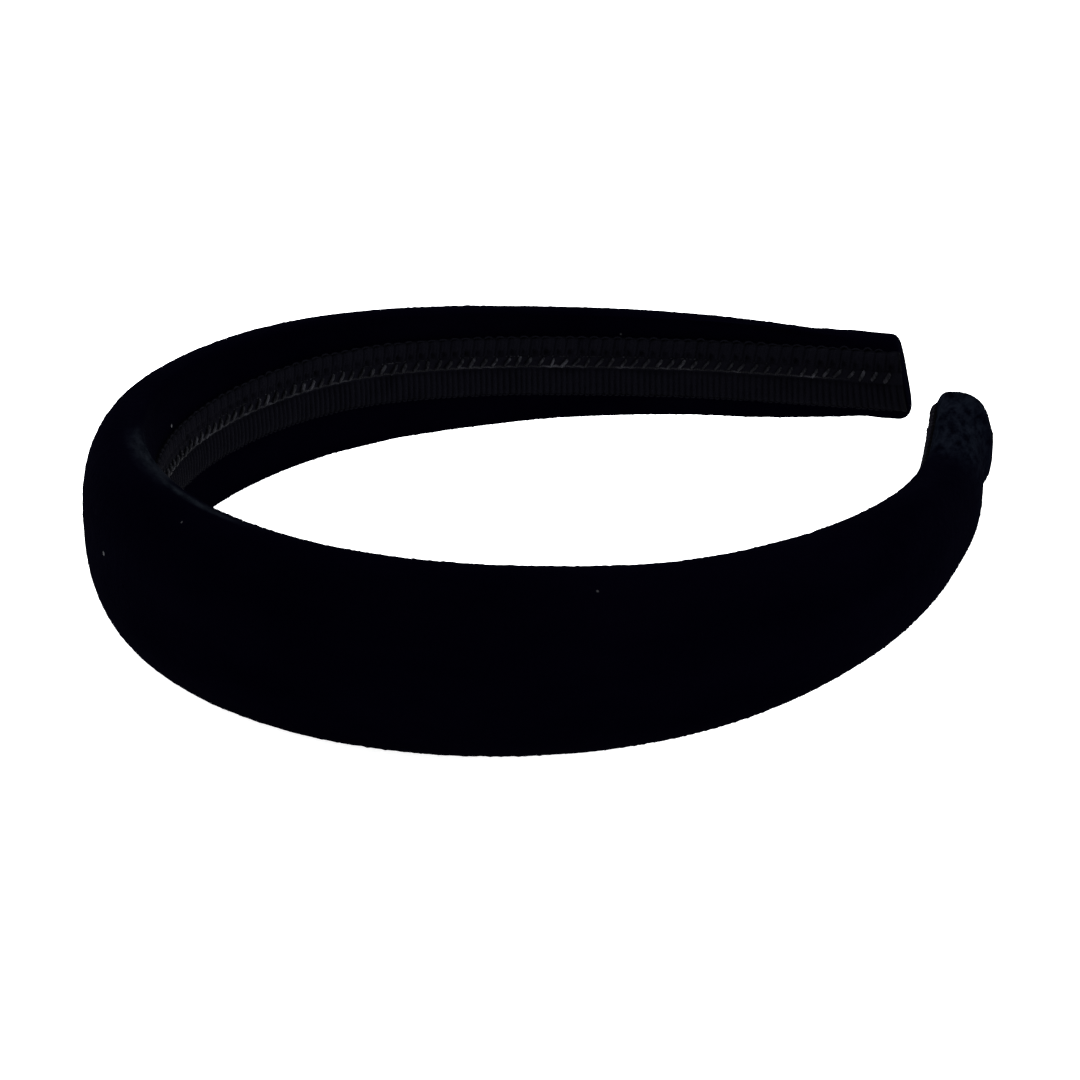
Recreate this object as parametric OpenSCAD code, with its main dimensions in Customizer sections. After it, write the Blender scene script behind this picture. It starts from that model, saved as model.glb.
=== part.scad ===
// Velvet padded headband, lying on its edge the way it is put down on a table.
// The hoop line is a chain of five arcs from the middle of the crown to each tip. Every layer follows it:
// s runs along the line from the middle of the crown, u points out of the hoop, z runs across the band.
// The real band is one springy hoop. It is cut here at two flex lines, so that each arm opens on its own
// joint. The joint axes lie on the top of the dome, so that the sections only part from each other.

/* [Hoop outline] */
// Length of the crown arc, from the middle to the flex line
crown_len = 62; // [58:1:66]
// Radius of the crown arc
crown_r = 55; // [53:0.5:57]
// Length of the shoulder arc
shoulder_len = 38; // [34:1:42]
// Radius of the shoulder arc
shoulder_r = 60.5; // [58:0.5:64]
// Length of the side arc
side_len = 32; // [28:1:36]
// Radius of the side arc
side_r = 84; // [80:1:90]
// Length of the lower arc
lower_len = 26; // [22:1:30]
// Radius of the lower arc
lower_r = 127; // [115:1:140]
// Length of the nearly straight tip arc
tip_len = 29; // [26:1:32]
// Radius of the tip arc
tip_r = 435; // [350:5:600]

/* [Padded section] */
// Half of the band's width at the crown
crown_half_width = 13.8; // [13:0.1:15]
// Half of the band's width at the tips
tip_half_width = 7.6; // [7.3:0.1:8.5]
// How late the band narrows towards the tips
width_taper = 1.22; // [1:0.01:1.6]
// Height of the padded dome at the crown, out from the hoop line
crown_dome = 7.3; // [6.5:0.1:9]
// Height of the padded dome at the tips
tip_dome = 5.1; // [4.6:0.1:6]
// How late the dome gets lower towards the tips
dome_taper = 1.84; // [1.2:0.01:2.4]
// Depth that the band reaches in from the hoop line
inner_wrap = 3.2; // [3.2:0.1:3.6]
// Radius that rounds off the tips
tip_round = 4.5; // [3.5:0.1:5]
// How much further the lower corner of a tip reaches than its middle
tip_slant = 1.3; // [0:0.1:2]

/* [Layers] */
// Thickness of the velvet cover
cover_skin = 0.8; // [0.6:0.1:0.8]
// Thickness of the springy plastic core
core_thick = 1.3; // [1:0.1:1.4]
// Distance from the core's edge to the band's edge
core_margin = 3.2; // [3.2:0.1:4]
// Thickness of the tape that holds the foam on the core
tape_thick = 0.15; // [0.1:0.05:0.15]
// Thickness of the glue film under the braid
glue_thick = 0.15; // [0.1:0.05:0.15]

/* [Inner braid] */
// Width of the ribbed braid along the inner face
braid_width = 9.6; // [8:0.1:9.8]
// Thickness of the braid
braid_thick = 1; // [0.8:0.1:1.2]
// Width of the groove between the braid's two lobes
groove_width = 1.2; // [0.9:0.1:1.6]
// Depth of that groove
groove_depth = 0.5; // [0.4:0.1:0.6]
// Width of the stitching that lies in the groove
stitch_width = 0.9; // [0.6:0.1:0.9]

/* [Tip caps] */
// Length of a tip cap along its middle
cap_len = 13; // [11:1:15]
// How much longer the cap is along its lower edge, and shorter along its upper edge
cap_slant = 5; // [0:0.5:5]
// Thickness of a tip cap on the dome
cap_thick = 0.7; // [0.5:0.1:0.8]

/* [Lying on its edge] */
// How far the hoop leans towards its tips, so that it rests on its lower edge
lie_tilt = 2.5; // [2:0.1:3.4]

/* [Hidden] */
$fa = 1.5;
$fs = 0.4;
// Powers that fill out the section: over the dome, across the inner face and at the two edges
dome_power = 0.89;
wrap_power = 0.62;
edge_power = 0.77;
// Points round a section, and the spacing of sections along the line
ring_points = 28;
station_step = 5;
// Where a tip's slant begins, how much dome is left at its very end, and the steps that round it off
slant_reach = 25;
end_dome_hold = 0.95;
end_turns = [15 : 15 : 90];
// A tip cap's height at its raw edge, and its height over the inner face
cap_lip = 0.35;
cap_pinch = 0.14;
// Clearances: between layers, across a flex line, and under the braid
layer_gap = 0.05;
flex_gap = 0.1;
braid_seat = 0.3;
// Depth of the core's inner face, as a share of the cover's bore, which gets shallower towards its edges
core_share = 0.68;
// How far the core and tape end before the tip, and how much narrower the tape and glue are
core_end = 4;
tape_inset = 1;
glue_inset = 0.5;
// Larger than the whole part
big = 400;

arc_lens = [crown_len, shoulder_len, side_len, lower_len, tip_len];
arc_radii = [crown_r, shoulder_r, side_r, lower_r, tip_r];
last_arc = len(arc_lens) - 1;
function arc_start(i) = i == 0 ? 0 : arc_start(i - 1) + arc_lens[i - 1];
arc_starts = [for (i = [0 : last_arc]) arc_start(i)];
arm_len = arc_start(last_arc) + tip_len;

// Angles, with the hoop line heading along +X at the middle of the crown
function turn(length, radius) = length / radius * 180 / PI;
function arc_heading(i) = i == 0 ? 0 : arc_heading(i - 1) + turn(arc_lens[i - 1], arc_radii[i - 1]);
function outward(heading) = [sin(heading), -cos(heading)];
function arc_centre(i) = i == 0 ? [0, crown_r]
    : arc_centre(i - 1) + (arc_radii[i - 1] - arc_radii[i]) * outward(arc_heading(i));
arc_headings = [for (i = [0 : last_arc]) arc_heading(i)];
arc_centres = [for (i = [0 : last_arc]) arc_centre(i)];
function arc_index(s) = max(0, len([for (start = arc_starts) if (s >= start) 1]) - 1);

function heading_at(s) = let (i = arc_index(s)) arc_headings[i] + turn(s - arc_starts[i], arc_radii[i]);
function hoop_point(s, u, z) = let (
    i = arc_index(s),
    flat = arc_centres[i] + (arc_radii[i] + u) * outward(heading_at(s))
) [flat.x, flat.y, z];

// The padded section. grow is how far a surface lies outside the cover on the dome, grow_in on the inner face
function fade(s, power) = (1 + cos(180 * pow(min(abs(s) / arm_len, 1), power))) / 2;
function half_width(s) = tip_half_width + (crown_half_width - tip_half_width) * fade(s, width_taper);
function dome_height(s) = tip_dome + (crown_dome - tip_dome) * fade(s, dome_taper);
function end_share(s, grow) = min(1, max(0, 1 - (arm_len + grow - s) / (tip_round + grow)));
function end_cut(s, grow) = (tip_round + grow) * (1 - sqrt(1 - pow(end_share(s, grow), 2)));
function end_dome(s, grow) = sqrt(1 - pow(end_dome_hold * end_share(s, grow), 4));
function side_share(angle) = sign(sin(angle)) * pow(abs(sin(angle)), edge_power);
function slant(s, side) = tip_slant * side * pow(min(1, max(0, 1 - (arm_len - s) / slant_reach)), 2);
function section_u(s, angle, grow, grow_in) = cos(angle) >= 0
    ? (dome_height(s) + grow) * end_dome(s, grow) * pow(cos(angle), dome_power)
    : -(inner_wrap + grow_in) * pow(-cos(angle), wrap_power);
function section_z(s, angle, grow) =
    (half_width(s) + grow - end_cut(s, grow)) * side_share(angle);
function band_point(s, angle, grow, grow_in) = hoop_point(
    s - slant(s, side_share(angle)),
    section_u(s, angle, grow, grow_in),
    section_z(s, angle, grow)
);
ring_angles = [for (k = [0 : ring_points - 1]) k * 360 / ring_points];
function band_ring(s, grow) = [for (a = ring_angles) band_point(s, a, grow, grow)];

// Stations along a band section. The end stations bring the section in round the tip
function stations(from, to) = let (count = ceil((to - from) / station_step))
    [for (k = [0 : count]) from + (to - from) * k / count];
function end_stations(grow) = [for (a = end_turns) arm_len - tip_round + (tip_round + grow) * sin(a)];
crown_stations = stations(flex_gap / 2 - crown_len, crown_len - flex_gap / 2);
arm_stations = stations(crown_len + flex_gap / 2, arm_len - tip_round);
function arm_rings(grow) = [for (s = concat(arm_stations, end_stations(grow))) band_ring(s, grow)];
function crown_rings(grow) = [for (s = crown_stations) band_ring(s, grow)];

// Tip cap rings: the first ones start on a slanted line, and the rest close over the tip
cap_shares = [0, 0.06, 0.3, 0.55, 0.8, 1];
function cap_s(share, side) = let (start = arm_len - cap_len + cap_slant * side)
    start + share * (arm_len - tip_round - start);
function cap_ring(share, grow, grow_in) = [for (a = ring_angles)
    band_point(cap_s(share, side_share(a)), a, grow, grow_in)];
function cap_rings(grow, lip, grow_in) = concat(
    [for (share = cap_shares) cap_ring(share, share == 0 ? lip : grow, grow_in)],
    [for (s = end_stations(grow)) [for (a = ring_angles) band_point(s, a, grow, grow_in)]]
);

// Faces of polyhedra made of rings. Rings wind the same way, and outer ones are listed from s = 0 on
function flatten(lists) = [for (list = lists) each list];
function mean(points) = [for (k = [0 : 2]) total([for (p = points) p[k]]) / len(points)];
function total(values, k = 0) = k == len(values) ? 0 : values[k] + total(values, k + 1);
function strip(a, b, n) = flatten([for (k = [0 : n - 1]) let (m = (k + 1) % n)
    [[a + k, b + k, b + m], [a + k, b + m, a + m]]]);
function strips(first, count, n) =
    flatten([for (r = [0 : count - 2]) strip(first + r * n, first + (r + 1) * n, n)]);
function fan(ring, centre, n) = [for (k = [0 : n - 1]) [centre, ring + k, ring + (k + 1) % n]];
function reversed(faces) = [for (f = faces) [f[0], f[2], f[1]]];

// A solid closed at both ends
module solid_sweep(rings) {
    n = len(rings[0]);
    count = len(rings);
    centres = [mean(rings[0]), mean(rings[count - 1])];
    polyhedron(
        points = concat(flatten(rings), centres),
        faces = concat(
            reversed(strips(0, count, n)),
            reversed(fan(0, count * n, n)),
            fan((count - 1) * n, count * n + 1, n)
        )
    );
}

// A tube with a wall between two lists of rings, open at both ends
module open_shell(outer, inner) {
    n = len(outer[0]);
    count = len(outer);
    bore = count * n;
    bore_count = len(inner);
    polyhedron(
        points = concat(flatten(outer), flatten(inner)),
        faces = concat(
            reversed(strips(0, count, n)),
            strips(bore, bore_count, n),
            strip(0, bore, n),
            reversed(strip((count - 1) * n, bore + (bore_count - 1) * n, n))
        )
    );
}

// The same tube, closed at its far end
module closed_shell(outer, inner) {
    n = len(outer[0]);
    count = len(outer);
    bore = count * n;
    bore_count = len(inner);
    outer_end = bore + bore_count * n;
    end_centres = [mean(outer[count - 1]), mean(inner[bore_count - 1])];
    polyhedron(
        points = concat(flatten(outer), flatten(inner), end_centres),
        faces = concat(
            reversed(strips(0, count, n)),
            strips(bore, bore_count, n),
            strip(0, bore, n),
            fan((count - 1) * n, outer_end, n),
            reversed(fan(bore + (bore_count - 1) * n, outer_end + 1, n))
        )
    );
}

// Flat layers follow the hoop line between two depths, with one even width
function arm_line(end) = concat([for (s = arm_stations) if (s < end - station_step / 4) s], [end]);
function flat_point(s, u) = let (p = hoop_point(s, u, 0)) [p.x, p.y];
module flat_layer(line, u_low, u_high, width) {
    last = len(line) - 1;
    linear_extrude(height = width, center = true)
        polygon(concat(
            [for (k = [0 : last]) flat_point(line[k], u_high)],
            [for (k = [last : -1 : 0]) flat_point(line[k], u_low)]
        ));
}

// The crown's braid seats a round stand, so it and what it touches are true arcs
module crown_arc(u_low, u_high, width) {
    half_turn = turn(crown_len - flex_gap / 2, crown_r);
    translate(arc_centres[0])
        rotate(-half_turn - 90)
            rotate_extrude(angle = 2 * half_turn)
                translate([crown_r + u_low, -width / 2])
                    square([u_high - u_low, width]);
}

// Side outline that narrows the core and the tape, as the band narrows
taper_stations = stations(0, arm_len);
module tapered(margin) {
    top = [for (s = taper_stations) [hoop_point(s, 0, 0).y, half_width(s) - margin]];
    edge = concat([[-big, top[0].y]], top, [[big, top[len(top) - 1].y]]);
    intersection() {
        children();
        rotate([90, 0, 90])
            linear_extrude(height = big, center = true)
                polygon(concat(edge, [for (k = [len(edge) - 1 : -1 : 0]) [edge[k].x, -edge[k].y]]));
    }
}

// Depths of the layers, from the cover's bore outwards
core_low = core_share * (cover_skin - inner_wrap);
core_high = core_low + core_thick;
tape_low = core_high + layer_gap / 2;
tape_high = tape_low + tape_thick;
foam_low = tape_high + layer_gap / 2;
braid_high = -(inner_wrap + braid_seat);
braid_low = braid_high - braid_thick;
glue_low = braid_high + layer_gap;
groove_high = braid_low + groove_depth;

// The foam pad: a dome with a flat back that lies on the core
function foam_ring(s) = let (
    grow = -cover_skin - layer_gap,
    dome = [for (a = ring_angles) if (cos(a) > 0.01) a],
    ordered = concat([for (a = dome) if (a > 180) a], [for (a = dome) if (a < 180) a]),
    foot = half_width(s) + grow - end_cut(s, grow) - core_margin / 2
) concat(
    [hoop_point(s, foam_low, -foot)],
    [for (a = ordered) band_point(s, a, grow, grow)],
    [hoop_point(s, foam_low, foot)]
);

module place() {
    translate([0, -(far_y + near_y) / 2, -low_z])
        rotate([-lie_tilt, 0, 0])
            children();
}
module on_left() { mirror([1, 0, 0]) children(); }

// Reach of the placed band, so that the origin is under its middle on the table
function placed_y(p) = p.y * cos(lie_tilt) + p.z * sin(lie_tilt);
function placed_z(p) = p.z * cos(lie_tilt) - p.y * sin(lie_tilt);
skin_points = flatten(concat(crown_rings(0), arm_rings(0), cap_rings(cap_thick, cap_lip, cap_pinch)));
near_y = min([for (p = skin_points) placed_y(p)]);
far_y = max([for (p = skin_points) placed_y(p)]);
low_z = min([for (p = skin_points) placed_z(p)]);

velvet = [0.02, 0.02, 0.05];
velvet_cap = [0.06, 0.08, 0.12];
braid_black = [0.1, 0.1, 0.13];
thread_grey = [0.35, 0.36, 0.38];
foam_grey = [0.55, 0.56, 0.58];
core_black = [0.12, 0.12, 0.12];
tape_white = [0.85, 0.84, 0.8];
glue_amber = [0.75, 0.68, 0.45];

// Crown section
module crown_core() {
    color(core_black) place() tapered(core_margin)
        flat_layer(crown_stations, core_low, core_high, 2 * crown_half_width);
}
module crown_foam_tape() {
    color(tape_white) place() tapered(core_margin + tape_inset)
        flat_layer(crown_stations, tape_low, tape_high, 2 * crown_half_width);
}
module crown_foam() {
    color(foam_grey) place() solid_sweep([for (s = crown_stations) foam_ring(s)]);
}
module crown_cover() {
    color(velvet) place() open_shell(crown_rings(0), crown_rings(-cover_skin));
}
module crown_glue_film() {
    color(glue_amber) place() crown_arc(glue_low, glue_low + glue_thick, braid_width - 2 * glue_inset);
}
module crown_braid() {
    color(braid_black) place() difference() {
        crown_arc(braid_low, braid_high, braid_width);
        crown_arc(braid_low - groove_depth, groove_high, groove_width);
    }
}
module crown_braid_stitch() {
    color(thread_grey) place()
        crown_arc(braid_low + layer_gap, groove_high - layer_gap, stitch_width);
}

// Arm sections, drawn on the right and mirrored for the left
module arm_core() {
    color(core_black) tapered(core_margin)
        flat_layer(arm_line(arm_len - core_end), core_low, core_high, 2 * crown_half_width);
}
module arm_foam_tape() {
    color(tape_white) tapered(core_margin + tape_inset)
        flat_layer(arm_line(arm_len - core_end), tape_low, tape_high, 2 * crown_half_width);
}
module arm_foam() {
    color(foam_grey) solid_sweep([for (s = arm_stations) foam_ring(s)]);
}
module arm_cover() {
    color(velvet) closed_shell(arm_rings(0), arm_rings(-cover_skin));
}
module arm_glue_film() {
    glue_end = arm_len - cap_len - cap_slant;
    color(glue_amber)
        flat_layer(arm_line(glue_end), glue_low, glue_low + glue_thick, braid_width - 2 * glue_inset);
}
module arm_braid() {
    color(braid_black) difference() {
        flat_layer(arm_line(arm_len), braid_low, braid_high, braid_width);
        flat_layer(arm_line(arm_len + 1), braid_low - groove_depth, groove_high, groove_width);
    }
}
module arm_braid_stitch() {
    stitch_end = arm_len - stitch_width;
    color(thread_grey)
        flat_layer(arm_line(stitch_end), braid_low + layer_gap, groove_high - layer_gap, stitch_width);
}
module arm_tip_cap() {
    color(velvet_cap)
        closed_shell(cap_rings(cap_thick, cap_lip, cap_pinch), cap_rings(layer_gap, layer_gap, layer_gap));
}

module right_core() { place() arm_core(); }
module right_foam_tape() { place() arm_foam_tape(); }
module right_foam() { place() arm_foam(); }
module right_cover() { place() arm_cover(); }
module right_glue_film() { place() arm_glue_film(); }
module right_braid() { place() arm_braid(); }
module right_braid_stitch() { place() arm_braid_stitch(); }
module right_tip_cap() { place() arm_tip_cap(); }

module left_core() { place() on_left() arm_core(); }
module left_foam_tape() { place() on_left() arm_foam_tape(); }
module left_foam() { place() on_left() arm_foam(); }
module left_cover() { place() on_left() arm_cover(); }
module left_glue_film() { place() on_left() arm_glue_film(); }
module left_braid() { place() on_left() arm_braid(); }
module left_braid_stitch() { place() on_left() arm_braid_stitch(); }
module left_tip_cap() { place() on_left() arm_tip_cap(); }

crown_core();
crown_foam_tape();
crown_foam();
crown_cover();
crown_glue_film();
crown_braid();
crown_braid_stitch();
right_core();
right_foam_tape();
right_foam();
right_cover();
right_glue_film();
right_braid();
right_braid_stitch();
right_tip_cap();
left_core();
left_foam_tape();
left_foam();
left_cover();
left_glue_film();
left_braid();
left_braid_stitch();
left_tip_cap();
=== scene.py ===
"""Looks of a padded velvet headband: cover, foam, core, ribbed braid, stitching and tip caps.

Every layer is swept along one hoop line in millimetres: s runs along it from the middle of the crown to each
tip (negative on the left arm), u points out of the hoop and z runs across the band. Each layer is two halves
that meet at the middle of the crown.
"""

import math

import bpy
import numpy as np
from mathutils import Matrix, Vector


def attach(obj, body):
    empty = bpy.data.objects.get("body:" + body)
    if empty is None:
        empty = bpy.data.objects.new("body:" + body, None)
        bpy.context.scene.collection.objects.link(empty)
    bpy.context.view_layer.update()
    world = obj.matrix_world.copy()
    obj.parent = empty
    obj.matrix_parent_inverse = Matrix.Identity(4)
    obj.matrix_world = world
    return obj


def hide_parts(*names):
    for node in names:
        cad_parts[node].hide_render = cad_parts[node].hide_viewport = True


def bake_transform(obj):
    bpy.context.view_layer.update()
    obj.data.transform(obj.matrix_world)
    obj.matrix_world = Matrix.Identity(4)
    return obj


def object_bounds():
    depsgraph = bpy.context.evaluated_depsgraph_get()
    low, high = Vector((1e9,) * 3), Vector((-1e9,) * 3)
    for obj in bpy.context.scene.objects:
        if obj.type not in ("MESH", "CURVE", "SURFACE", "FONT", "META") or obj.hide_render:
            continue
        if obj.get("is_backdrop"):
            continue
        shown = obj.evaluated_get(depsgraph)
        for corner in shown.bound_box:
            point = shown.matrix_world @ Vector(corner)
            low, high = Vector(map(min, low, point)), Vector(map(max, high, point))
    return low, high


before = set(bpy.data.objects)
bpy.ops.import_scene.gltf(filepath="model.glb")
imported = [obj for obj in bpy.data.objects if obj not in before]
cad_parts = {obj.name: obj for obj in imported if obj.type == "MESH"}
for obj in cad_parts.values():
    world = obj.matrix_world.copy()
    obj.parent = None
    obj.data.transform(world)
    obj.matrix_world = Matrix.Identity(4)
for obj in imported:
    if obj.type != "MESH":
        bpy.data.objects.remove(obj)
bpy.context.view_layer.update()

MM = 0.001
SEED = 20261
random = np.random.default_rng(SEED)

# Hoop line: five arcs a side, as in the CAD part
ARC_LENGTHS = np.array([62.0, 38.0, 32.0, 26.0, 29.0])
ARC_RADII = np.array([55.0, 60.5, 84.0, 127.0, 435.0])
ARC_STARTS = np.concatenate([[0.0], np.cumsum(ARC_LENGTHS)[:-1]])
ARM_LENGTH = ARC_LENGTHS.sum()
FLEX_S = ARC_LENGTHS[0]

# Padded section, as in the CAD part
CROWN_HALF_WIDTH, TIP_HALF_WIDTH, WIDTH_TAPER = 13.8, 7.6, 1.22
CROWN_DOME, TIP_DOME, DOME_TAPER = 7.3, 5.1, 1.84
INNER_WRAP = 3.2
TIP_ROUND = 4.5
TIP_SLANT, SLANT_REACH = 1.3, 25.0
DOME_POWER, WRAP_POWER, EDGE_POWER = 0.89, 0.62, 0.77
END_DOME_HOLD = 0.95

# Layers, as in the CAD part
COVER_SKIN = 0.8
CORE_LOW, CORE_THICK, CORE_MARGIN, CORE_END = -1.63, 1.3, 3.2, 4.0
TAPE_THICK, TAPE_INSET = 0.15, 1.0
LAYER_GAP = 0.05

# The tip caps: how far they reach back at the sides, how much further over the dome, and how they pinch below
CAP_SIDE, CAP_TONGUE, CAP_PINCH = 6.5, 10.5, 0.14

# How the relaxed band lies: level, with its right arm sagging to the table at the tip
LIE_MIDDLE_Y = 67.27
LIE_HEIGHT = 13.9
RIGHT_TIP_SAG, SAG_POWER = 4.95, 1.75

# Small rises and dips of the band as it lies: (s, reach, rise)
RISES = ((-85.0, 25.0, 0.35), (-155.0, 16.0, 0.15), (5.0, 35.0, -0.22), (76.0, 17.0, -0.4))

# What the hand-made band has beyond the CAD part: a squarer and slightly narrower left tip, a flatter inner
# face near the right tip, and uneven padding, which adds to the dome and to the half width around some
# places: (s, reach, dome, half width)
LEFT_TIP_ROUND = 1.7
LEFT_TRIM_START, LEFT_TRIM, LEFT_TRIM_UP = 160.0, 0.75, 0.5
SWELLS = (
    (-45.0, 38.0, 0.45, 0.0),
    (-14.0, 14.0, 0.0, 0.2),
    (-142.0, 26.0, 0.0, 0.5),
    (-155.0, 16.0, 0.0, 0.15),
    (60.0, 14.0, 0.0, 0.15),
    (155.0, 22.0, 0.35, 0.0),
    (151.0, 10.0, 0.5, 0.0),
)
RIGHT_TIP_FLAT, FLAT_REACH = 0.35, 24.0


# ---------------------------------------------------------------- the hoop line and the section

def arc_frames():
    """Centre and starting heading of each arc."""
    centres, headings = [np.array([0.0, ARC_RADII[0]])], [0.0]
    for i in range(len(ARC_LENGTHS) - 1):
        heading = headings[-1] + ARC_LENGTHS[i] / ARC_RADII[i]
        out = np.array([math.sin(heading), -math.cos(heading)])
        centres.append(centres[-1] + (ARC_RADII[i] - ARC_RADII[i + 1]) * out)
        headings.append(heading)
    return np.array(centres), np.array(headings)


ARC_CENTRES, ARC_HEADINGS = arc_frames()


def smooth_step(t):
    t = np.clip(t, 0, 1)
    return t * t * (3 - 2 * t)


def place(s, u, z):
    """Points at s along the hoop line, u out of it and z across it. Each has six values: where it is, in
    metres in the row frame, and the same s, u and z, which the fabrics' patterns follow."""
    s, u, z = np.broadcast_arrays(*(np.asarray(v, float) for v in (s, u, z)))
    along = np.abs(s)
    arc = np.clip(np.searchsorted(ARC_STARTS, along, side="right") - 1, 0, len(ARC_STARTS) - 1)
    heading = ARC_HEADINGS[arc] + (along - ARC_STARTS[arc]) / ARC_RADII[arc]
    reach = ARC_RADII[arc] + u
    x = ARC_CENTRES[arc][..., 0] + reach * np.sin(heading)
    y = ARC_CENTRES[arc][..., 1] - reach * np.cos(heading)
    sag = np.clip((s - FLEX_S) / (ARM_LENGTH - FLEX_S), 0, None) ** SAG_POWER * RIGHT_TIP_SAG
    rise = sum(row[2] * np.exp(-(((s - row[0]) / row[1]) ** 2)) for row in RISES)
    side = np.where(s < 0, -1.0, 1.0)
    row = np.stack([x * side, y - LIE_MIDDLE_Y, z - sag + rise + LIE_HEIGHT], -1) * MM
    return np.concatenate([row, np.stack([s, u, z], -1)], -1)


def point(s, u=0.0, z=0.0):
    return tuple(float(v) for v in place(s, u, z)[:3])


def fade(s, power):
    return (1 + np.cos(np.pi * np.minimum(np.abs(s) / ARM_LENGTH, 1) ** power)) / 2


def left_trim(s):
    return smooth_step((-s - LEFT_TRIM_START) / (ARM_LENGTH - LEFT_TRIM_START))


def swell(s, part):
    return sum(row[part] * np.exp(-(((s - row[0]) / row[1]) ** 2)) for row in SWELLS)


def half_width(s):
    whole = TIP_HALF_WIDTH + (CROWN_HALF_WIDTH - TIP_HALF_WIDTH) * fade(s, WIDTH_TAPER)
    return whole - LEFT_TRIM * left_trim(s) + swell(s, 3)


def dome_height(s):
    return TIP_DOME + (CROWN_DOME - TIP_DOME) * fade(s, DOME_TAPER) + swell(s, 2)


def inner_wrap(s):
    return INNER_WRAP - RIGHT_TIP_FLAT * smooth_step(1 - (ARM_LENGTH - s) / FLAT_REACH)


def side_share(angle):
    return np.sign(np.sin(angle)) * np.abs(np.sin(angle)) ** EDGE_POWER


def tip_slant(s, across):
    """How far back from the tip a point lies for its place across the band."""
    return TIP_SLANT * across * np.clip(1 - (ARM_LENGTH - np.abs(s)) / SLANT_REACH, 0, 1) ** 2


def shorten(s, by):
    return np.sign(s) * np.clip(np.abs(s) - by, 0, None)


def band(s, angle, grow=0.0, grow_in=None):
    """(s, u, z) of the padded section's outline, grown by grow on the dome and grow_in on the inner face."""
    grow_in = grow if grow_in is None else grow_in
    along = np.abs(s)
    round_off = np.where(s < 0, LEFT_TIP_ROUND, TIP_ROUND) + grow
    share = np.clip(1 - (ARM_LENGTH + grow - along) / round_off, 0, 1)
    cut = round_off * (1 - np.sqrt(1 - share**2))
    squeeze = np.sqrt(1 - (END_DOME_HOLD * share) ** 4)
    cos = np.cos(angle)
    dome = (dome_height(s) + grow) * squeeze * np.clip(cos, 0, None) ** DOME_POWER
    wrap = (inner_wrap(s) + grow_in) * np.clip(-cos, 0, None) ** WRAP_POWER
    across = side_share(angle)
    z = (half_width(s) + grow - cut) * across + LEFT_TRIM_UP * left_trim(s)
    return shorten(s, tip_slant(s, across)), np.where(cos >= 0, dome, -wrap), z


def inner_depth(s, z):
    """Depth of the band's inner face at z across it."""
    share = np.clip(np.abs(z) / half_width(s), 0, 1) ** (1 / EDGE_POWER)
    return inner_wrap(s) * np.clip(1 - share**2, 0, 1) ** (WRAP_POWER / 2)


def both_ways(stations):
    """Stations of the right arm, with the left arm's before them."""
    return np.concatenate([-stations[:0:-1], stations])


def steps(end, spacing):
    return np.linspace(0, end, max(2, round(end / spacing) + 1))


def tip_steps(grow, count):
    """Stations that bring the section in round the tip."""
    turns = np.linspace(0, math.pi / 2, count + 1)[1:]
    return ARM_LENGTH - TIP_ROUND + (TIP_ROUND + grow) * np.sin(turns)


def ring(count):
    return np.arange(count) * 2 * np.pi / count


# ---------------------------------------------------------------- soft random fields over a grid

def soft_noise(rows, columns, row_cells, column_cells, wrap=True):
    """Random values from -1 to 1 over a rows by columns grid, smooth over cells of the given number."""
    lattice = random.uniform(-1, 1, (row_cells + 2, column_cells + 1))
    if wrap:
        lattice[:, -1] = lattice[:, 0]
    r = np.linspace(0, row_cells, rows)
    c = np.arange(columns) * column_cells / columns
    r0, c0 = np.floor(r).astype(int), np.floor(c).astype(int)
    fr, fc = smooth_step(r - r0)[:, None], smooth_step(c - c0)[None]
    c1 = np.minimum(c0 + 1, column_cells)
    low = lattice[r0][:, c0] * (1 - fc) + lattice[r0][:, c1] * fc
    high = lattice[r0 + 1][:, c0] * (1 - fc) + lattice[r0 + 1][:, c1] * fc
    return low * (1 - fr) + high * fr


# ---------------------------------------------------------------- meshes made of rings of points

FABRIC = "fabric"
# How high the braid stands, which its colour turns into painted shade
RELIEF_SHADE = "relief_shade"
YARN_RELIEF_SHADE = 1.1


def add_relief_shade(obj, grid):
    """Stores how high each point of a ribbed grid stands, from 0 to 1, which the weave's colour turns into
    painted shade: the lower, the darker. Points after the grid, which are loops of yarn, stand a little
    higher and are painted a little lighter."""
    values = np.full(len(obj.data.vertices), YARN_RELIEF_SHADE, np.float32)
    values[: grid.size] = grid.ravel()
    obj.data.attributes.new(RELIEF_SHADE, "FLOAT", "POINT").data.foreach_set("value", values)


def new_object(name, points, faces, joint_normals=None):
    """A mesh of six-value points. joint_normals are for its first vertices, so that halves shade as one."""
    mesh = bpy.data.meshes.new(name)
    mesh.from_pydata([tuple(p[:3]) for p in points], [], faces)
    mesh.polygons.foreach_set("use_smooth", [True] * len(mesh.polygons))
    fabric = mesh.attributes.new(FABRIC, "FLOAT_VECTOR", "POINT")
    fabric.data.foreach_set("vector", np.ascontiguousarray(points[:, 3:], np.float32).ravel())
    mesh.update()
    if joint_normals is not None:
        normals = np.zeros((len(points), 3))
        normals[: len(joint_normals)] = joint_normals
        mesh.normals_split_custom_set_from_vertices(normals.tolist())
    obj = bpy.data.objects.new(name, mesh)
    bpy.context.scene.collection.objects.link(obj)
    return obj


def ring_faces(first, rows, columns, flip=False):
    """Quads between closed rings of points, numbered from first."""
    r, c = np.meshgrid(np.arange(rows - 1), np.arange(columns), indexing="ij")
    a = first + r * columns + c
    b = first + r * columns + (c + 1) % columns
    quads = np.stack([a, b, b + columns, a + columns], -1).reshape(-1, 4)
    return (quads[:, ::-1] if flip else quads).tolist()


def fan_faces(start, columns, centre, flip=False):
    faces = [[start + k, start + (k + 1) % columns, centre] for k in range(columns)]
    return [f[::-1] for f in faces] if flip else faces


def rim_faces(a, b, columns, flip=False):
    faces = [[a + k, a + (k + 1) % columns, b + (k + 1) % columns, b + k] for k in range(columns)]
    return [f[::-1] for f in faces] if flip else faces


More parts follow.
